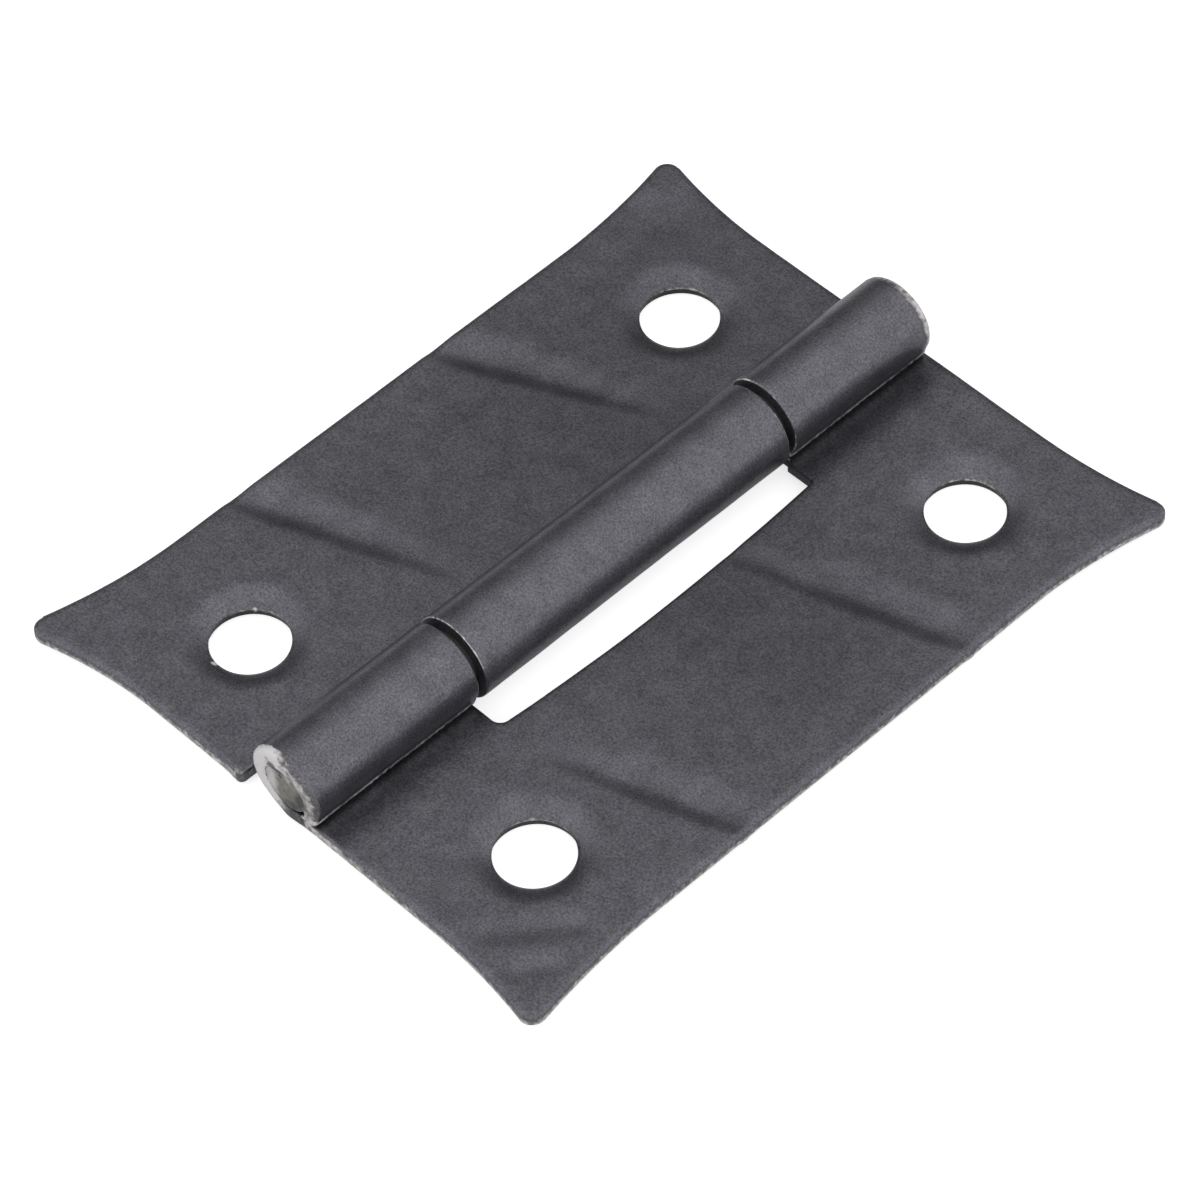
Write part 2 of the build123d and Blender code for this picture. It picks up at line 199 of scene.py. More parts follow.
# X where the painted shadow and dark reflection in the barrel's shelter end, at the two Y of SHELTER_Y
SHELTER_Y = [-9, 9]
MIDDLE_SHELTER, OUTER_SHELTER = (0.0, 0.0), (2.6, 3.9)
# Painted shadow and dark reflection beside the barrel: how much darker, and the width over which it
# fades out
FOOT_SHADE, FOOT_SHADE_FADE = 0.33, 1.2
FOOT_SHADE_EDGE = (0.25, 0.7, 31)  # unevenness of its end, as above
# Tone of the rings along these edges: painted shade in the holes' walls, and a little lighter at the
# knuckles' ends
SHELTERED = ("middle_near", "middle_far", "side_near", "side_far", "hole")
HOLE_WALL_SHADE, KNUCKLE_END_SHADE = [0.15, 0.3, 0.8, 1.0], [1.1, 1.0, 1.0, 1.0]

# Colours
COAT_DARK, COAT_LIGHT = (0.125, 0.122, 0.139, 1), (0.165, 0.161, 0.181, 1)
BARE_TONES = [(0.0, (0.17, 0.15, 0.137, 1)), (0.45, (0.36, 0.342, 0.333, 1)),
              (1.0, (0.71, 0.697, 0.71, 1))]
PIN_TONES = [(0.1, (0.068, 0.065, 0.068, 1)), (0.5, (0.2, 0.197, 0.17, 1)),
             (0.9, (0.57, 0.555, 0.56, 1))]
SPECKLE = (0.62, 1.38)  # darkest and lightest grain of the coating
METALLIC, ROUGHNESS = (0.85, 0.35), (0.32, 0.5)  # where coated and where bare
TABLE_TONE, TABLE_GLOW = (0.8, 0.8, 0.8, 1), 0.69
# The tent's light, as (how far towards the dark side, level)
DARK_SIDE = (-0.75, 0.66, 0.0)
TENT = [(0.0, 1.0), (0.30, 1.0), (0.50, 0.9), (0.64, 0.56), (0.76, 0.4), (0.9, 0.18), (1.0, 0.08)]

# Camera: metres from the point under the pin at the flat leaves' backs
CAMERA_AT = (0.12551528, -0.11039898, 0.19888517)
CAMERA_TURN = (0.8691266847, 0.3050631803, 0.1510121102, 0.3588183450)
CAMERA_LENS, CAMERA_SENSOR = 182.095, 36.0

# Points along the edges, and how near to them others may stand
EDGE_STEP, CORNER_STEP, LEAST_STEP = 0.15, 0.06, 0.012
CLEAR_OF_EDGE, CLEAR_OF_HOLE = 0.09, 0.12
HOLE_POINTS = 96
# Points inside the blank: its plain grid, rings round the holes and rows along the grooves.
# "apart" is the least distance to the points before.
GRID_STEP = 0.27
GRID_ROW, GRID_APART = GRID_STEP * 0.866, GRID_STEP * 0.72
RINGS, RING_POINTS, RING_APART = (HOLE_RADIUS + 0.2, 3.5, 0.115), 80, 0.06
GROOVE_ROWS = [(-0.6, 0.65, 0.1), (0.8, 2.6, 0.2)]
ROW_STEP, ROW_APART = 0.3, 0.07
# The same on the tongues: everywhere, beside the barrel's near end and along the curl's end
ROLL_STEP, ROLL_Y, ROLL_APART = 0.2, (-19, 19, 0.42), 0.11
NEAR_Y, NEAR_APART = (-18.1, -17.6, 0.1), 0.09
CURL_X, CURL_Y, CURL_APART = (0.05, 0.75, 0.08), (-19, 19, 0.15), 0.075
# Slopes are measured over this step; the pin has so many rings on a face and points in a ring
SLOPE_STEP = 0.01
FACE_RINGS, PIN_POINTS = 22, 96


def smooth(t):
    """Eased step from 0 to 1."""
    t = np.clip(t, 0.0, 1.0)
    return t * t * (3 - 2 * t)


def rise(value, start, width):
    """Eased step from 0 to 1 as value passes start and goes on over width."""
    return smooth((value - start) / width)


def fall(value, end, width):
    """Eased step from 1 to 0 over the last width before value reaches end."""
    return smooth((end - value) / width)


def between(value, rising, falling):
    """1 between an eased rise and an eased fall, 0 outside them."""
    return rise(value, *rising) * fall(value, *falling)


def share_turned(x):
    """Share of a full turn that the roll has made at X of the blank."""
    return np.clip(-x, 0, None) / MIDDLE_OF_SHEET / (2 * math.pi)


def grain(x, y, scale, seed):
    """Smooth random field from -1 to 1 whose patches are about scale millimetres wide."""
    x, y = np.broadcast_arrays(np.asarray(x, float), np.asarray(y, float))
    flat = [
        noise.noise(Vector((a / scale + seed * 17.3, b / scale - seed * 9.1, seed * 3.7)))
        for a, b in zip(x.ravel(), y.ravel())
    ]
    return np.array(flat).reshape(x.shape) * 1.6


def uneven(fields, x, y, seed):
    """Sum of random fields, each given as (height, width of its patches, its own seed)."""
    return sum(height * grain(x, y, width, seed + own) for height, width, own in fields)


def line(start, end, step=EDGE_STEP):
    """Points of a straight run, both ends included."""
    start, end = np.array(start, float), np.array(end, float)
    count = max(2, int(round(np.linalg.norm(end - start) / step)) + 1)
    return start + (end - start) * np.linspace(0, 1, count)[:, None]


def tangent_arc(start, tangent, end, step=EDGE_STEP):
    """Points of the arc that leaves start along tangent and meets end."""
    start, end = np.array(start, float), np.array(end, float)
    tangent = np.array(tangent, float) / np.linalg.norm(tangent)
    side = np.array([-tangent[1], tangent[0]])
    chord = end - start
    if chord @ side < 0:
        side = -side
    radius = (chord @ chord) / (2 * (chord @ side))
    sweep = 2 * math.atan2(chord @ side, chord @ tangent)
    angles = np.linspace(0, sweep, max(3, int(radius * sweep / step) + 1))[:, None]
    return start + side * radius * (1 - np.cos(angles)) + tangent * radius * np.sin(angles)


def trim(path, length):
    """The path without its first length millimetres."""
    steps = np.linalg.norm(np.diff(path, axis=0), axis=1)
    along = np.concatenate([[0], np.cumsum(steps)])
    first = np.array([np.interp(length, along, path[:, k]) for k in (0, 1)])
    keep = path[along > length + 0.3 * EDGE_STEP]
    return np.vstack([first, keep])


def closed_outline(runs):
    """Joins runs of (name, path, radius of the corner at its end) into one outline.
    Returns the points, the run that each belongs to and the corner radius there."""
    count = len(runs)
    backs, turns = [], []
    for k, (_, path, radius) in enumerate(runs):
        following = runs[(k + 1) % count][1]
        before = path[-1] - path[-2]
        after = following[1] - following[0]
        before, after = before / np.linalg.norm(before), after / np.linalg.norm(after)
        turn = math.atan2(before[0] * after[1] - before[1] * after[0], before @ after)
        backs.append(radius * math.tan(abs(turn) / 2))
        turns.append((before, turn))
    points, names, radii = [], [], []
    for k, (name, path, radius) in enumerate(runs):
        body = trim(path, backs[k - 1]) if backs[k - 1] > 0 else path
        body = trim(body[::-1], backs[k])[::-1] if backs[k] > 0 else body
        start = 0 if backs[k - 1] > 0 else 1
        for point in body[start:]:
            points.append(point)
            names.append(name)
            radii.append(NO_CORNER)
        if backs[k] > 0:
            before, turn = turns[k]
            side = np.array([-before[1], before[0]]) * math.copysign(1, turn)
            centre = body[-1] + side * radius
            steps = max(4, int(radius * abs(turn) / CORNER_STEP))
            for step in range(1, steps):
                a = abs(turn) * step / steps
                points.append(centre - side * radius * math.cos(a) + before * radius * math.sin(a))
                names.append(name)
                radii.append(radius if turn > 0 else NO_CORNER)
    points = np.array(points)
    gaps = np.linalg.norm(points - np.roll(points, 1, axis=0), axis=1)
    keep = gaps > LEAST_STEP
    return points[keep], np.array(names)[keep], np.array(radii)[keep]


def flared_side(reach, tips, shift, short_from):
    """Runs from the -Y short edge round both tips to the +Y short edge."""
    long_start = HALF_LENGTH - LONG_FLARE
    short_start = reach - SHORT_FLARE
    (near_x, near_y), (far_x, far_y) = tips
    near_tip = (reach + near_x, -HALF_LENGTH - near_y + shift)
    far_tip = (reach + far_x, HALF_LENGTH + far_y + shift)
    low, high = -HALF_LENGTH + shift, HALF_LENGTH + shift
    near_long = tangent_arc((reach, -long_start + shift), (0, -1), near_tip)[::-1]
    far_short = tangent_arc((short_start, high), (1, 0), far_tip)[::-1]
    return [
        ("short_near", line((short_from, low), (short_start, low)), 0),
        ("short_near", tangent_arc((short_start, low), (1, 0), near_tip), TIP_RADIUS),
        ("long", near_long, 0),
        ("long", line((reach, -long_start + shift), (reach, long_start + shift)), 0),
        ("long", tangent_arc((reach, long_start + shift), (0, 1), far_tip), TIP_RADIUS),
        ("short_far", far_short, 0),
        ("short_far", line((short_start, high), (short_from, high)), 0),
    ]


def outer_outline():
    """Blank of the leaf with two tongues, one at each end."""
    slot_high = OUTER_HIGH - LEDGE
    middle = (slot_high + OUTER_LOW) / 2
    half = (slot_high - OUTER_LOW) / 2
    bow = [(SLOT_CUT + SLOT_BOW * (1 - t * t), middle + half * t)
           for t in np.linspace(1, -1, int(2 * half / EDGE_STEP))]
    ledge_x = FOOT + LEDGE_GAP
    far_corner, near_corner = SLOT_CORNERS
    runs = [
        ("barrel_near", line((-TONGUE, BARREL_LOW), (-END_EASE, BARREL_LOW)), 0),
        ("barrel_near", line((-END_EASE, BARREL_LOW), (END_EASE, -HALF_LENGTH)), 0),
    ]
    runs += flared_side(OUTER_REACH, OUTER_TIPS, 0.0, END_EASE)
    runs += [
        ("barrel_far", line((END_EASE, HALF_LENGTH), (-END_EASE, BARREL_HIGH)), 0),
        ("barrel_far", line((-END_EASE, BARREL_HIGH), (-TONGUE, BARREL_HIGH)), TONGUE_CORNER),
        ("curl_end", line((-TONGUE, BARREL_HIGH), (-TONGUE, OUTER_HIGH)), TONGUE_CORNER),
        ("side_far", line((-TONGUE, OUTER_HIGH), (ledge_x, OUTER_HIGH)), LEDGE_CORNER),
        ("ledge", line((ledge_x, OUTER_HIGH), (ledge_x, slot_high)), LEDGE_CORNER),
        ("slot", line((ledge_x, slot_high), (SLOT_CUT, slot_high)), far_corner),
        ("slot", np.array(bow), near_corner),
        ("slot", line((SLOT_CUT, OUTER_LOW), (FOOT, OUTER_LOW)), 0),
        ("side_near", line((FOOT, OUTER_LOW), (-TONGUE, OUTER_LOW)), TONGUE_CORNER),
        ("curl_end", line((-TONGUE, OUTER_LOW), (-TONGUE, BARREL_LOW)), TONGUE_CORNER),
    ]
    return closed_outline(runs)


def middle_outline():
    """Blank of the leaf with one tongue in the middle, between two notches."""
    low, high = -HALF_LENGTH + MIDDLE_SHIFT, HALF_LENGTH + MIDDLE_SHIFT
    lip = (NOTCH_CUT - NOTCH_LIP, low - NOTCH_BURR)
    plain_x = NOTCH_CUT + NOTCH_BURR_LENGTH
    runs = [
        ("middle_near", line((-TONGUE, MIDDLE_LOW), (FOOT, MIDDLE_LOW)), 0),
        ("notch", line((FOOT, MIDDLE_LOW), (NOTCH_CUT, MIDDLE_LOW)), NOTCH_CORNER),
        ("notch", line((NOTCH_CUT, MIDDLE_LOW), lip), NOTCH_CORNER),
        ("short_near", line(lip, (plain_x, low)), 0),
    ]
    runs += flared_side(MIDDLE_REACH, MIDDLE_TIPS, MIDDLE_SHIFT, plain_x)
    runs += [
        ("short_far", line((plain_x, high), (NOTCH_CUT, high)), FAR_NOTCH_CORNER),
        ("notch", line((NOTCH_CUT, high), (NOTCH_CUT, MIDDLE_HIGH)), NOTCH_CORNER),
        ("notch", line((NOTCH_CUT, MIDDLE_HIGH), (FOOT, MIDDLE_HIGH)), 0),
        ("middle_far", line((FOOT, MIDDLE_HIGH), (-TONGUE, MIDDLE_HIGH)), TONGUE_CORNER),
        ("curl_end", line((-TONGUE, MIDDLE_HIGH), (-TONGUE, MIDDLE_LOW)), TONGUE_CORNER),
    ]
    return closed_outline(runs)


def dimple_profile():
    """Height of the upper face against the distance from a hole's centre."""
    turn = math.tan(DIMPLE_SLOPE / 2)
    slope = math.tan(DIMPLE_SLOPE)
    straight = (DIMPLE_DEPTH - DIMPLE_WIDTH * turn) / (slope - turn)
    radius = (DIMPLE_WIDTH - straight) / math.sin(DIMPLE_SLOPE)
    step, reach = 0.01, 30
    r = np.arange(0.5, 6.0, step)
    inwards = np.clip(HOLE_RADIUS + DIMPLE_WIDTH - r, 0, None)
    arc = -radius + np.sqrt(np.clip(radius**2 - inwards**2, 0, None))
    cone = -DIMPLE_DEPTH + (r - HOLE_RADIUS) * slope
    height = np.where(inwards < DIMPLE_WIDTH - straight, arc, cone)
    spread = np.exp(-0.5 * (np.arange(-reach, reach + 1) * step / DIMPLE_EASE) ** 2)
    eased = np.convolve(np.pad(height, reach, mode="edge"), spread / spread.sum(), mode="valid")
    return r, eased


DIMPLE_R, DIMPLE_H = dimple_profile()


class Leaf:
    """What is pressed into one leaf, and where it is worn and shaded."""

    def __init__(self, reach, holes, grooves, at_edge, creases, shades, shelter, spots, seed):
        self.reach, self.at_edge = reach, at_edge
        self.holes = [(holes[0], holes[1] + side * HOLE_SPACING / 2) for side in (1, -1)]
        self.grooves, self.creases = grooves, creases
        self.shades, self.shelter, self.spots = shades, shelter, spots
        self.seed = seed

    def groove(self, edge_y, slant, start, x, y):
        """Height of one groove, whose middle is the middle of its steep side."""
        slant = math.radians(slant)
        across = (y - edge_y - math.tan(slant) * (self.reach - x)) * math.cos(slant)
        foot = x - across * math.sin(slant)
        places = [start + past for past, _ in GROOVE_RISE] + [self.reach - FULL_INSET, self.reach]
        shares = [share for _, share in GROOVE_RISE] + [1.0, self.at_edge]
        share = np.interp(foot, places, shares)
        share = share * (1 + GROOVE_SWELL * np.sin(foot * SWELL_RATE + self.seed))
        width = 0.5 + 0.5 * share
        bottom = 0.5 * STEEP * width
        steep_side = smooth(0.5 + across / (STEEP * width))
        gentle_side = smooth(1 - (across - bottom) / (GENTLE * width))
        return -GROOVE_DEPTH * share * np.where(across < bottom, steep_side, gentle_side)

    def crease(self, start, end, depth, left, right, fade, x, y):
        """Height of one crease, which runs from start to end."""
        (ax, ay), (bx, by) = start, end
        length = math.hypot(bx - ax, by - ay)
        ux, uy = (bx - ax) / length, (by - ay) / length
        along = (x - ax) * ux + (y - ay) * uy
        across = (y - ay) * ux - (x - ax) * uy
        beyond = np.abs(along - length / 2) - length / 2
        width = np.where(across > 0, left, right)
        return -depth * smooth(1 - np.abs(across) / width) * smooth(1 - beyond / fade)

    def height(self, x, y):
        """Height of the upper face over the flat sheet."""
        pressed = np.zeros_like(x)
        for hx, hy in self.holes:
            r = np.hypot(x - hx, y - hy)
            pressed = np.minimum(pressed, np.interp(r, DIMPLE_R, DIMPLE_H, right=0.0))
        for groove in self.grooves:
            pressed = np.minimum(pressed, self.groove(*groove, x, y))
        for crease in self.creases:
            pressed = np.minimum(pressed, self.crease(*crease, x, y))
        away = rise(x, FLAT_NEAR_BARREL, FLAT_NEAR_BARREL)
        return pressed + away * uneven(SHEET_WAVES, x, y, self.seed)

    def shade(self, x, y):
        """Tone of the coating: darker between the grooves, with painted shade on the roll's lower
        flank and a painted shadow and dark reflection beside the barrel.
        """
        dull = (1 - np.interp(y, *zip(*self.shades))) * np.interp(x, *SHADE_ACROSS)
        dull = dull * rise(x, *SHADE_START)
        # Painted shadow and dark reflection on the leaf beside the barrel
        foot_shade_end = np.interp(y, SHELTER_Y, self.shelter) + uneven([FOOT_SHADE_EDGE], x, y, self.seed)
        foot_shade = FOOT_SHADE * fall(x, foot_shade_end, FOOT_SHADE_FADE)
        # Painted shade and dark reflection on the barrel's lower flank, towards its own leaf
        under = UNDER_CURL_SHADE * rise(share_turned(x), *UNDER_CURL)
        return np.where(x < 0, 1 - under, (1 - dull) * (1 - foot_shade))


def evened(values, reach=3):
    """Running mean of values round a closed outline."""
    return sum(np.roll(values, k) for k in range(-reach, reach + 1)) / (2 * reach + 1)


def inset_profiles(names, points, radii):
    """Rings of (inset, depth through the sheet) from the side wall to each face."""
    most = 0.55 * radii
    under = np.where(np.isin(names, OPEN_EDGES), OPEN_ROUND, EDGE_ROUND)
    edge = np.minimum(evened(under), most)
    edge_sizes = np.array([TOP_EDGE.get(name, ROLLED_EDGE) for name in names])
    edge_in = np.minimum(evened(edge_sizes[:, 0]), most)
    edge_down = evened(edge_sizes[:, 1])
    x = points[:, 0]
    rolled = rise(-x, 0.1, 1.0) * rise(x + TONGUE, 0.25, 0.8)
    outside = edge.copy()
    lip = np.zeros(len(points))
    for name, size in (("barrel_near", NEAR_ROUND), ("barrel_far", FAR_ROUND)):
        mask = names == name
        outside[mask] += (size - edge[mask]) * rolled[mask]
        lip[mask] = rolled[mask]
    lip_face = SHEET + BORE_RADIUS - LIP_RADIUS
    lip_rings = [(0.0, lip_face - LIP_EDGE), (LIP_EDGE, lip_face), (LIP_DEPTH, lip_face - 0.02),
                 (LIP_DEPTH + 0.05, SHEET)]
    upright = np.where(names == "hole", HOLE_UPRIGHT, 0.0)
    top, bottom = [], []
    for a, (lip_inset, lip_depth) in zip(RING_ANGLES, lip_rings):
        in_share, down_share = 1 - math.cos(a), 1 - math.sin(a)
        inset = edge_in * in_share * (1 - lip) + lip_inset * lip
        depth = (SHEET - edge_down * down_share) * (1 - lip) + lip_depth * lip
        top.append((inset, depth))
        bottom.append((outside * in_share - upright, outside * down_share))
    return top, bottom


def bare_metal(tags, x, behind, k, face):
    """How bare ring k of an edge is; ring 0 bounds the cut face, ring 3 the plain sheet.
    behind is 1 where the sheet lies beyond the edge as the camera sees it, and -1 before it."""
    wall = np.array([BARE[tag][0] for tag in tags])
    rounding = np.array([BARE[tag][1] for tag in tags])
    inner = np.where(tags == "barrel_far", FAR_INNER_BARE, INNER_BARE)
    wall = np.where(tags == "short_near", np.interp(x, *SHORT_NEAR_WALL), wall)
    if face == "bottom":
        open_edge = np.isin(tags, OPEN_EDGES)
        wall = np.where(open_edge, np.maximum(wall, UNDER_WALL), wall)
        rounding = np.where(open_edge, UNDER_ROUNDING, rounding)
    turned = share_turned(x)
    for tag, (turns, shares) in WEAR_AND_GLINT_BY_TURN.items():
        rounding = np.where(tags == tag, rounding * np.interp(turned, turns, shares), rounding)
    low = rise(turned, *SIDE_NEAR_LOW)
    rounding = np.where(tags == "side_near", rounding * (0.5 + 0.9 * low), rounding)
    at_end = tags == "barrel_near"
    # Bare metal at the barrel's near end, lightened on its upper left as painted highlight
    near_end = np.interp(turned, *zip(*NEAR_END_BARE_AND_LIT))
    end_highlight = between(turned, *NEAR_END_HIGHLIGHT)
    wall = np.where(at_end, near_end, wall)
    rounding = np.where(at_end, near_end * (0.7 + 0.3 * end_highlight), rounding)
    inner = np.where(at_end, 0.35 + 0.5 * end_highlight, inner)
    # Painted highlight on the burred far edges of the holes, the side that faces the camera
    if face == "top":
        burr_and_glint = np.where(tags == "hole", rise(behind, *BURR_GLINT_BAND), 0.0)
        rounding = rounding + BURR_GLINT_ROUNDING * burr_and_glint
        inner = inner + BURR_GLINT_INNER * burr_and_glint
    return [wall, rounding, 0.9 * rounding, inner * rounding][k]


def edge_shade(tags, k):
    """Share of the coating's tone on ring k: painted shade makes the holes' walls almost black, and
    the knuckles' cut ends are a little lighter.
    """
    shares = np.where(tags == "hole", HOLE_WALL_SHADE[k], KNUCKLE_END_SHADE[k])
    return np.where(np.isin(tags, SHELTERED), shares, 1.0)


def inward(points):
    """Unit normals of a closed outline towards the sheet, which is on its left."""
    along = np.roll(points, -1, axis=0) - np.roll(points, 1, axis=0)
    along /= np.linalg.norm(along, axis=1)[:, None]
    return np.stack([-along[:, 1], along[:, 0]], axis=1)


def hole_loop(centre):
    """Edge of a screw hole, walked with the sheet on its left."""
    angles = np.linspace(0, -2 * math.pi, HOLE_POINTS, endpoint=False)
    return np.stack([centre[0] + HOLE_RADIUS * np.cos(angles),
                     centre[1] + HOLE_RADIUS * np.sin(angles)], axis=1)


def inside(points, loops):
    """Which points lie inside the outline and outside the holes."""
    result = np.zeros(len(points), bool)
    x, y = points[:, 0], points[:, 1]
    for loop in loops:
        following = np.roll(loop, -1, axis=0)
        for (ax, ay), (bx, by) in zip(loop, following):
            if ay == by:
                continue
            crosses = (ay > y) != (by > y)
            at = ax + (y - ay) * (bx - ax) / (by - ay)
            result ^= crosses & (x < at)
    return result


def wanted_points(leaf):
    """Places for points as (X, Y, least distance to others), closer together where something
    is pressed or rolled. Where two are too close, the earlier one stays."""
    wanted = []
    for hx, hy in leaf.holes:
        for k, r in enumerate(np.arange(*RINGS)):
            angles = np.linspace(0, 2 * math.pi, RING_POINTS, endpoint=False)
            angles = angles + (k % 2) * math.pi / RING_POINTS
            wanted += [(hx + r * math.cos(a), hy + r * math.sin(a), RING_APART) for a in angles]
    for edge_y, slant, start in leaf.grooves:
        slant = math.radians(slant)
        for k, row in enumerate(np.concatenate([np.arange(*rows) for rows in GROOVE_ROWS])):
            shift = (k % 2) * ROW_STEP / 2
            for x in np.arange(start - 1.5, leaf.reach + 1.6, ROW_STEP) + shift:
                px = x + row * math.sin(slant)
                py = edge_y + math.tan(slant) * (leaf.reach - x) + row * math.cos(slant)
                wanted.append((px, py, ROW_APART))
    for row, y in enumerate(np.arange(-21, 21, GRID_ROW)):
        shift = GRID_STEP / 2 if row % 2 else 0.0
        wanted += [(x, y, GRID_APART) for x in np.arange(0.2, 17.5, GRID_STEP) + shift]
    for x in np.arange(-TONGUE, 0.15, ROLL_STEP):
        wanted += [(x, y, ROLL_APART) for y in np.arange(*ROLL_Y)]
        wanted += [(x, y, NEAR_APART) for y in np.arange(*NEAR_Y)]
    for x in np.arange(*CURL_X) - TONGUE:
        wanted += [(x, y, CURL_APART) for y in np.arange(*CURL_Y)]
    return np.array(wanted)


def interior_points(leaf, loops):
    """Points inside the blank, clear of its edges and of each other."""
    wanted = wanted_points(leaf)
    wanted = wanted[inside(wanted[:, :2], loops)]
    edges = np.vstack(loops)
    tree = kdtree.KDTree(len(edges))
    for k, (x, y) in enumerate(edges):
        tree.insert((x, y, 0), k)
    tree.balance()
    clear = [tree.find((x, y, 0))[2] > CLEAR_OF_EDGE for x, y, _ in wanted]
    wanted = wanted[np.array(clear)]
    for hx, hy in leaf.holes:
        away = np.hypot(wanted[:, 0] - hx, wanted[:, 1] - hy)
        wanted = wanted[away > HOLE_RADIUS + CLEAR_OF_HOLE]
    cells, kept = {}, []
    for x, y, apart in wanted:
        cx, cy = int(math.floor(x / GRID_STEP)), int(math.floor(y / GRID_STEP))
        around = [spot for i in (cx - 1, cx, cx + 1) for j in (cy - 1, cy, cy + 1)
                  for spot in cells.get((i, j), ())]
        if all((ox - x) ** 2 + (oy - y) ** 2 >= apart * apart for ox, oy in around):
            cells.setdefault((cx, cy), []).append((x, y))
            kept.append((x, y))
    return np.array(kept)


def pressed_place(leaf, x, y, s):
    """Where a point of the flat leaf ends up; s is its depth from the underside."""
    step = SLOPE_STEP
    slope_x = (leaf.height(x + step, y) - leaf.height(x - step, y)) / (2 * step)
    slope_y = (leaf.height(x, y + step) - leaf.height(x, y - step)) / (2 * step)
    size = np.sqrt(1 + slope_x**2 + slope_y**2)
    drop = (SHEET - s) / size
    height = SHEET + leaf.height(x, y) - drop / size
    return slope_x / size * drop, slope_y / size * drop, height


def rolled_place(leaf, x, y, s):
    """Where a point of the blank ends up; s is its depth from the underside."""
    shift_x, shift_y, flat_z = pressed_place(leaf, np.clip(x, 0, None), y, s)
    angle = np.clip(-x, 0, None) / MIDDLE_OF_SHEET
    away = smooth(angle * 2)
    dents = uneven(BARREL_DENTS, x, y, leaf.seed)
    radius = BARREL_RADIUS - s - ROLL_INSET * away + dents * away * DENT_SHARE
    radius += np.interp(np.degrees(angle), CURL_TURN, CURL_PULL)
    rolled_x = -radius * np.sin(angle)
    rolled_z = BARREL_RADIUS - radius * np.cos(angle)
    floor = SHEET + CURL_END_GAP
    over = rolled_z - floor
    flattened = floor + 0.5 * (over + np.sqrt(over**2 + 4 * FLATTENED_SOFTNESS**2))
    rolled_z = np.where(angle > FLATTENED_FROM, flattened, rolled_z)
    slant = END_SLANT * np.cos(angle) - END_SLANT / 2
    at_end = fall(y, BARREL_LOW + END_SLANT_LENGTH, END_SLANT_LENGTH)
    rolled_y = y + slant * at_end * smooth(angle * 3)
    rolled = x < 0
    return (np.where(rolled, rolled_x, x + shift_x), np.where(rolled, rolled_y, y + shift_y),
            np.where(rolled, rolled_z, flat_z))


def rubbed_and_glinting(leaf, x, y, s):
    """Bare metal off the edges, much of it painted highlight: at the barrel's near end and far side
    and at the curl's end; and in spots.
    """
    turned = share_turned(x)
    outside = np.where(s < SHEET / 2, 1.0, 0.0)
    near_end = between(turned, *NEAR_END_RUB_AND_GLINT) * fall(y, BARREL_LOW + 0.4, 0.16)
    curl_end = between(turned, *CURL_END_RUB_AND_GLINT)
    curl_end = curl_end * (0.92 + 0.15 * grain(x, y, 1.5, leaf.seed + 21) - 0.15 * smooth(y / 8))
    far_side = between(turned, *FAR_SIDE_RUB_AND_GLINT) * rise(y, 12.5, 4)
    far_side = far_side * (0.62 + 0.25 * grain(x, y, 1.2, leaf.seed + 23))
    result = outside * np.maximum(np.maximum(1.05 * near_end, curl_end), far_side)
    for spot_x, spot_y, radius, amount in leaf.spots:
        away = np.hypot(x - spot_x, y - spot_y) / radius
        result = np.maximum(result, amount * (1 - outside) * smooth(1.6 - away))
    return result


def pin_mark(x, z):
    """Darker or lighter tone of the cut face at a place across the pin: stains, with painted shade
    along its upper rim and painted highlight on its left.
    """
    total = 0.0
    for mx, mz, long, wide, tilt, tone in PIN_MARKS:
        turn = math.radians(tilt)
        along = (x - mx) * math.cos(turn) + (z - mz) * math.sin(turn)
        across = (z - mz) * math.cos(turn) - (x - mx) * math.sin(turn)
        total += tone * math.exp(-((along / long) ** 2 + (across / wide) ** 2) ** 2)
    return total


class Blank:
    """Points of a leaf's blank, with what is known of each, and the faces between them."""

    def __init__(self):
        self.points, self.depth, self.wear, self.tone = [], [], [], []
        self.faces = []
        self.count = 0

    def add(self, points, depth, wear, tone):
        """Adds points at a depth from the underside, and gives their numbers."""
        size = len(points)
        self.points.append(points)
        for values, new in ((self.depth, depth), (self.wear, wear), (self.tone, tone)):
            values.append(np.broadcast_to(new, (size,)).astype(float))
        self.count += size
        return list(range(self.count - size, self.count))

    def add_face(self, corners, face):
        """Adds a face whose corners run anticlockwise as seen from above."""
        self.faces.append(corners if face == "top" else corners[::-1])

    def add_band(self, first, second, face):
        """Adds the faces between two closed rings of points."""
        count = len(first)
        for i in range(count):
            j = (i + 1) % count
            self.add_face((first[i], first[j], second[j], second[i]), face)


def add_edge(blank, leaf, loop, tags, corner, mirror):
    """Adds the rounded edge along a loop. Returns the innermost ring of each face, as its points
    and their numbers."""
    normals = inward(loop)
    behind = normals @ (BEHIND[0] * (-1 if mirror else 1), BEHIND[1])
    height, width, own = EDGE_ROUGHNESS
    rough = height * (1 + grain(loop[:, 0], loop[:, 1], width, leaf.seed + own))
    loop = loop + normals * rough[:, None]
    outermost, innermost = [], {}
    for face, rings in zip(("top", "bottom"), inset_profiles(tags, loop, corner)):
        numbers = None
        for k, (inset, s) in enumerate(rings):
            ring = loop + normals * inset[:, None]
            before = numbers
            wear = bare_metal(tags, ring[:, 0], behind, k, face)
            numbers = blank.add(ring, s, wear, edge_shade(tags, k))
            if k == 0:
                outermost.append(numbers)
            else:
                blank.add_band(before, numbers, face)
        innermost[face] = (ring, numbers)
    up, down = outermost
    blank.add_band(down, up, "top")
    return innermost


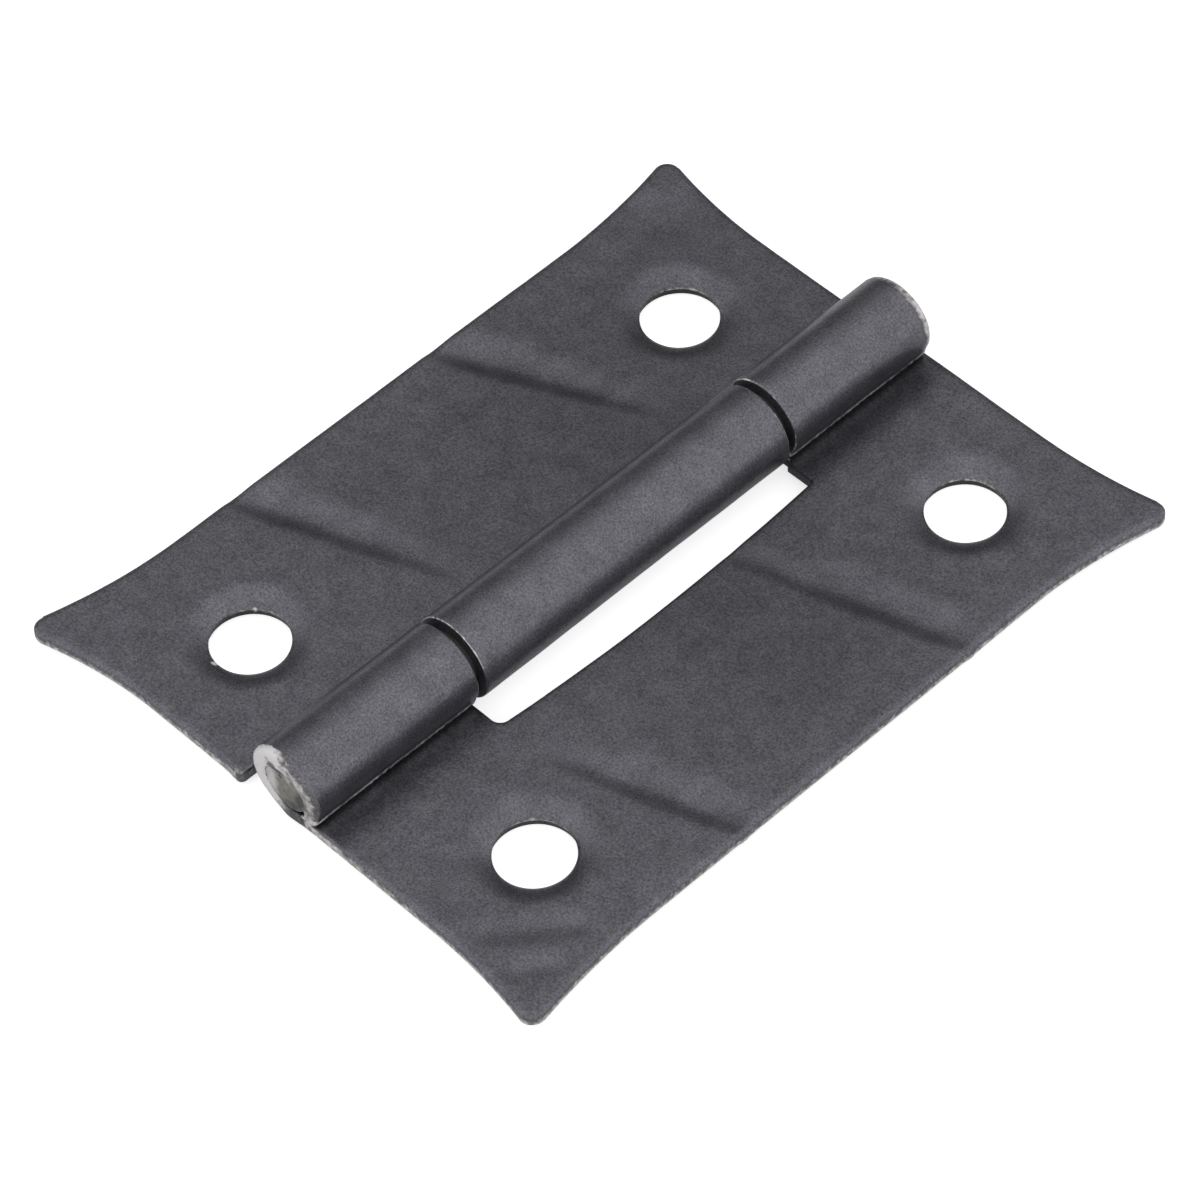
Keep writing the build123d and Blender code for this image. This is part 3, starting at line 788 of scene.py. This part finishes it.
def cover(blank, face, s, rings, middle):
    """Fills one face of the blank between its innermost rings with triangles."""
    coordinates, edges, owner = [], [], []
    for ring, numbers in rings:
        base, count = len(coordinates), len(ring)
        coordinates += [Vector(p) for p in ring]
        owner += numbers
        edges += [(base + i, base + (i + 1) % count) for i in range(count)]
    loops = [ring for ring, _ in rings]
    keep = middle[inside(middle, loops)]
    coordinates += [Vector(p) for p in keep]
    owner += blank.add(keep, s, 0.0, 1.0)
    out = delaunay_2d_cdt(coordinates, edges, [], 0, 1e-6)
    spots, triangles, sources = np.array([tuple(v) for v in out[0]]), out[2], out[3]
    fine = inside(spots[np.array(triangles)].mean(axis=1), loops)
    lookup = [owner[source[0]] if source else -1 for source in sources]
    for corners, good in zip(triangles, fine):
        trio = tuple(lookup[corner] for corner in corners)
        if good and min(trio) >= 0:
            blank.add_face(trio, face)


def make_piece(name, places, faces, attributes):
    """Object with a smooth mesh that has a value of each attribute at every point."""
    mesh = bpy.data.meshes.new(name)
    mesh.from_pydata(places, [], faces)
    mesh.polygons.foreach_set("use_smooth", [True] * len(mesh.polygons))
    for key, values in attributes.items():
        layer = mesh.attributes.new(key, "FLOAT", "POINT")
        layer.data.foreach_set("value", np.asarray(values, np.float32))
    mesh.validate()
    mesh.update()
    piece = bpy.data.objects.new(name, mesh)
    bpy.context.scene.collection.objects.link(piece)
    return piece


def build_leaf(name, outline, leaf, mirror):
    """Piece of one leaf with rounded cut edges, pressed relief and rolled knuckles."""
    blank = Blank()
    loops = [outline]
    for centre in leaf.holes:
        loop = hole_loop(centre)
        loops.append((loop, np.full(len(loop), "hole"), np.full(len(loop), NO_CORNER)))
    inner = {"top": [], "bottom": []}
    for loop, tags, corner in loops:
        for face, ring in add_edge(blank, leaf, loop, tags, corner, mirror).items():
            inner[face].append(ring)
    middle = interior_points(leaf, [ring for ring, _ in inner["bottom"]])
    cover(blank, "top", SHEET, inner["top"], middle)
    cover(blank, "bottom", 0.0, inner["bottom"], middle)
    x, y = np.concatenate(blank.points).T
    s, worn = np.concatenate(blank.depth), np.concatenate(blank.wear)
    px, py, pz = rolled_place(leaf, x, y, s)
    # Bare metal in spots, and painted highlights at the barrel's ends and along the curl's end
    worn = np.maximum(worn, rubbed_and_glinting(leaf, x, y, s))
    # The pin's dark marks, with the painted shade along its rim, darken the ring of the barrel's end
    # too
    at_near_face = (x < 0) & (y < BARREL_LOW + 0.06)
    for k in np.flatnonzero(at_near_face):
        worn[k] += MARK_ON_RING * min(0.0, pin_mark(px[k], pz[k] - BARREL_RADIUS))
    faces = blank.faces
    if mirror:
        px = -px
        faces = [face[::-1] for face in faces]
    places = np.stack([px, py, pz + LIFT], axis=1) * MM
    attributes = {"wear": worn, "shade": leaf.shade(x, y) * np.concatenate(blank.tone)}
    return make_piece(name, [tuple(p) for p in places], faces, attributes)


def pin_rows():
    """Rings of the pin as (Y, radius), from the middle of its near face to that of its far one."""
    near, far = PIN_FACES
    low, high = PIN_SHOULDERS
    face_radii = [k / FACE_RINGS * (STUB_RADIUS - STUB_ROUND) for k in range(FACE_RINGS + 1)]
    rows = [(near, r) for r in face_radii]
    rows += [(near + 0.01, STUB_RADIUS - 0.01), (near + 0.04, STUB_RADIUS), (low, STUB_RADIUS)]
    rows += [(low + along, PIN_RADIUS - under) for along, under in SHOULDER_ROUND]
    rows += [(low + t * (high - low), PIN_RADIUS) for t in (0.1, 0.3, 0.5, 0.7, 0.9)]
    rows += [(high - along, PIN_RADIUS - under) for along, under in SHOULDER_ROUND[::-1]]
    rows += [(high, STUB_RADIUS), (far - 0.05, STUB_RADIUS), (far - 0.02, STUB_RADIUS - 0.02)]
    rows += [(far, r) for r in face_radii[::-1]]
    return rows


def build_pin():
    """Round pin with roughly cut ends."""
    near, far = PIN_FACES
    rows = pin_rows()
    places, tones, faces = [], [], []
    for row_y, r in rows:
        for k in range(PIN_POINTS):
            a = 2 * math.pi * k / PIN_POINTS
            x, y, z = r * math.cos(a), row_y, r * math.sin(a)
            if row_y in PIN_FACES:
                rough = noise.noise(Vector((x * 2.2, z * 2.2, 3.0)))
                rough += 0.5 * noise.noise(Vector((x * 6.0, z * 6.0, 7.0)))
                y += FACE_ROUGHNESS * (rough + 0.4) * (1 if row_y == near else -1)
            places.append((x * MM, y * MM, (z + BARREL_RADIUS + LIFT) * MM))
            at_face = near - 0.01 < y < near + 0.08 or y > far - 0.12
            # Painted shade along the body; the faces take pin_mark, with their stains, painted shade
            # and painted highlight
            tones.append(FACE_TONE + pin_mark(x, z) if at_face else PIN_BODY_SHADE)
    for row in range(len(rows) - 1):
        for k in range(PIN_POINTS):
            a, b = row * PIN_POINTS + k, row * PIN_POINTS + (k + 1) % PIN_POINTS
            faces.append((a, b, b + PIN_POINTS, a + PIN_POINTS))
    return make_piece("pin", places, faces, {"stain_and_shade": tones})


def new_material(name):
    """Empty node material, with its nodes and its links."""
    material = bpy.data.materials.new(name)
    material.use_nodes = True
    tree = material.node_tree
    tree.nodes.clear()
    return material, tree.nodes, tree.links


def principled(name):
    """Material with one principled shader, its nodes and links, the shader and a place node."""
    material, nodes, links = new_material(name)
    out = nodes.new("ShaderNodeOutputMaterial")
    shader = nodes.new("ShaderNodeBsdfPrincipled")
    links.new(shader.outputs[0], out.inputs[0])
    return material, nodes, links, shader, nodes.new("ShaderNodeTexCoord")


def noise_node(nodes, links, place, scale, detail):
    """Noise texture in the object's own space; scale counts its cells in a metre."""
    node = nodes.new("ShaderNodeTexNoise")
    node.inputs["Scale"].default_value = scale
    node.inputs["Detail"].default_value = detail
    links.new(place.outputs["Object"], node.inputs["Vector"])
    return node.outputs["Fac"]


def attribute_node(nodes, name):
    """Value that the mesh holds at its points under a name."""
    node = nodes.new("ShaderNodeAttribute")
    node.attribute_name = name
    return node.outputs["Fac"]


def math_node(nodes, links, operation, first, second):
    """Sum or product of two values."""
    node = nodes.new("ShaderNodeMath")
    node.operation = operation
    links.new(first, node.inputs[0])
    links.new(second, node.inputs[1])
    return node.outputs[0]


def scale_node(nodes, links, colour, factor):
    """Colour times a value."""
    node = nodes.new("ShaderNodeVectorMath")
    node.operation = "SCALE"
    links.new(colour, node.inputs[0])
    links.new(factor, node.inputs["Scale"])
    return node.outputs[0]


def map_node(nodes, links, source, low, high, to_low, to_high):
    """Straight map of a value from one range to another, held at its ends."""
    node = nodes.new("ShaderNodeMapRange")
    settings = {"From Min": low, "From Max": high, "To Min": to_low, "To Max": to_high}
    for name, value in settings.items():
        node.inputs[name].default_value = value
    links.new(source, node.inputs["Value"])
    return node.outputs[0]


def ramp_node(nodes, links, source, stops):
    """Colour ramp with the given (position, colour) stops."""
    node = nodes.new("ShaderNodeValToRGB")
    elements = node.color_ramp.elements
    elements[0].position, elements[1].position = stops[0][0], stops[-1][0]
    elements[0].color, elements[1].color = stops[0][1], stops[-1][1]
    for position, colour in stops[1:-1]:
        elements.new(position).color = colour
    links.new(source, node.inputs[0])
    return node.outputs[0]


def add_bump(nodes, links, shader, height, strength, distance):
    """Roughens a shader's surface by a value; distance is in metres."""
    bump = nodes.new("ShaderNodeBump")
    bump.inputs["Strength"].default_value = strength
    bump.inputs["Distance"].default_value = distance
    links.new(height, bump.inputs["Height"])
    links.new(bump.outputs[0], shader.inputs["Normal"])


def coating():
    """Satin grey-black coating over steel, worn through along the edges, with painted highlights on
    some bare edges and painted shade from the mesh.
    """
    material, nodes, links, shader, place = principled("leaf_coating")
    mottle = noise_node(nodes, links, place, 900, 5)
    tone = ramp_node(nodes, links, mottle, [(0.3, COAT_DARK), (0.7, COAT_LIGHT)])
    fine = noise_node(nodes, links, place, 11000, 2)
    speckle = map_node(nodes, links, fine, 0.3, 0.7, *SPECKLE)
    # The mesh's shade darkens the coating: painted shade beside and under the barrel and in the holes'
    # walls
    shade = math_node(nodes, links, "MULTIPLY", speckle, attribute_node(nodes, "shade"))
    coat = scale_node(nodes, links, tone, shade)
    patches = noise_node(nodes, links, place, 4200, 3)
    # Bare metal where worn, with painted highlights along some edges and painted shade from the pin's
    # dark marks
    worn = math_node(nodes, links, "ADD", attribute_node(nodes, "wear"), patches)
    bare = map_node(nodes, links, worn, 1.0, 1.5, 0.0, 1.0)
    metal_tone = ramp_node(nodes, links, bare, BARE_TONES)
    even = nodes.new("ShaderNodeMix")
    links.new(bare, even.inputs[0])
    links.new(speckle, even.inputs[2])
    even.inputs[3].default_value = 1.0
    metal = scale_node(nodes, links, metal_tone, even.outputs[0])
    mix = nodes.new("ShaderNodeMix")
    mix.data_type = "RGBA"
    links.new(map_node(nodes, links, bare, 0.0, 0.5, 0.0, 1.0), mix.inputs["Factor"])
    links.new(coat, mix.inputs[6])
    links.new(metal, mix.inputs[7])
    links.new(mix.outputs[2], shader.inputs["Base Color"])
    links.new(map_node(nodes, links, bare, 0.0, 1.0, *METALLIC), shader.inputs["Metallic"])
    links.new(map_node(nodes, links, bare, 0.0, 1.0, *ROUGHNESS), shader.inputs["Roughness"])
    add_bump(nodes, links, shader, noise_node(nodes, links, place, 9000, 3), 0.4, 0.00003)
    return material


def steel():
    """Drawn steel of the pin, dull and stained at its ends, and painted dark along its body as shade
    where it shows between the knuckles.
    """
    material, nodes, links, shader, place = principled("pin_steel")
    mottle = noise_node(nodes, links, place, 2600, 5)
    patches = map_node(nodes, links, mottle, 0.0, 1.0, -0.3, 0.3)
    stain_and_shade = math_node(nodes, links, "ADD", attribute_node(nodes, "stain_and_shade"), patches)
    links.new(ramp_node(nodes, links, stain_and_shade, PIN_TONES), shader.inputs["Base Color"])
    shader.inputs["Metallic"].default_value = 0.4
    shader.inputs["Roughness"].default_value = 0.5
    add_bump(nodes, links, shader, mottle, 0.5, 0.00006)
    return material


def add_floor():
    """White table that the hinge lies on; the camera sees it glow a little."""
    bpy.ops.mesh.primitive_plane_add(size=4.0, location=(0, 0, 0))
    floor = bpy.context.object
    floor.name = "table"
    material, nodes, links = new_material("table_white")
    out = nodes.new("ShaderNodeOutputMaterial")
    diffuse = nodes.new("ShaderNodeBsdfDiffuse")
    diffuse.inputs[0].default_value = TABLE_TONE
    glow = nodes.new("ShaderNodeEmission")
    glow.inputs[0].default_value = (1, 1, 1, 1)
    glow.inputs[1].default_value = TABLE_GLOW
    both = nodes.new("ShaderNodeAddShader")
    links.new(diffuse.outputs[0], both.inputs[0])
    links.new(glow.outputs[0], both.inputs[1])
    path = nodes.new("ShaderNodeLightPath")
    choose = nodes.new("ShaderNodeMixShader")
    links.new(path.outputs["Is Camera Ray"], choose.inputs[0])
    links.new(diffuse.outputs[0], choose.inputs[1])
    links.new(both.outputs[0], choose.inputs[2])
    links.new(choose.outputs[0], out.inputs[0])
    floor.data.materials.append(material)


def add_light():
    """Bright white tent all round, open and dark on the side behind the left leaf."""
    world = bpy.data.worlds.new("tent")
    bpy.context.scene.world = world
    world.use_nodes = True
    nodes, links = world.node_tree.nodes, world.node_tree.links
    back = nodes["Background"]
    place = nodes.new("ShaderNodeTexCoord")
    towards = nodes.new("ShaderNodeVectorMath")
    towards.operation = "DOT_PRODUCT"
    towards.inputs[1].default_value = DARK_SIDE
    links.new(place.outputs["Generated"], towards.inputs[0])
    stops = [(position, (level, level, level, 1)) for position, level in TENT]
    links.new(ramp_node(nodes, links, towards.outputs["Value"], stops), back.inputs[0])
    back.inputs[1].default_value = 1.0


def add_camera():
    """Camera of the photograph."""
    data = bpy.data.cameras.new("camera")
    data.sensor_width = CAMERA_SENSOR
    data.lens = CAMERA_LENS
    data.clip_start, data.clip_end = 0.01, 10.0
    camera = bpy.data.objects.new("camera", data)
    bpy.context.scene.collection.objects.link(camera)
    x, y, z = CAMERA_AT
    camera.location = (x, y, z + LIFT * MM)
    camera.rotation_mode = "QUATERNION"
    camera.rotation_quaternion = Quaternion(CAMERA_TURN)
    bpy.context.scene.camera = camera


outer = Leaf(OUTER_REACH, OUTER_HOLES, OUTER_GROOVES, OUTER_AT_EDGE, OUTER_CREASES,
             OUTER_SHADE, OUTER_SHELTER, OUTER_SPOTS, 2)
middle = Leaf(MIDDLE_REACH, MIDDLE_HOLES, MIDDLE_GROOVES, MIDDLE_AT_EDGE, MIDDLE_CREASES,
              MIDDLE_SHADE, MIDDLE_SHELTER, MIDDLE_SPOTS, 5)
coat = coating()
outer_piece = build_leaf("outer_leaf", outer_outline(), outer, False)
middle_piece = build_leaf("middle_leaf", middle_outline(), middle, True)
leaves = [(outer_piece, "leaf_outer_knuckles", "outer_leaf"),
          (middle_piece, "leaf_middle_knuckle", "middle_leaf")]
for piece, node, body in leaves:
    piece.data.materials.append(coat)
    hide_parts(node)
    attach(piece, body)
pin = build_pin()
pin.data.materials.append(steel())
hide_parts("hinge_pin")
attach(pin, "outer_leaf")

add_floor()
add_light()
add_camera()
bpy.context.scene.view_settings.view_transform = "Standard"
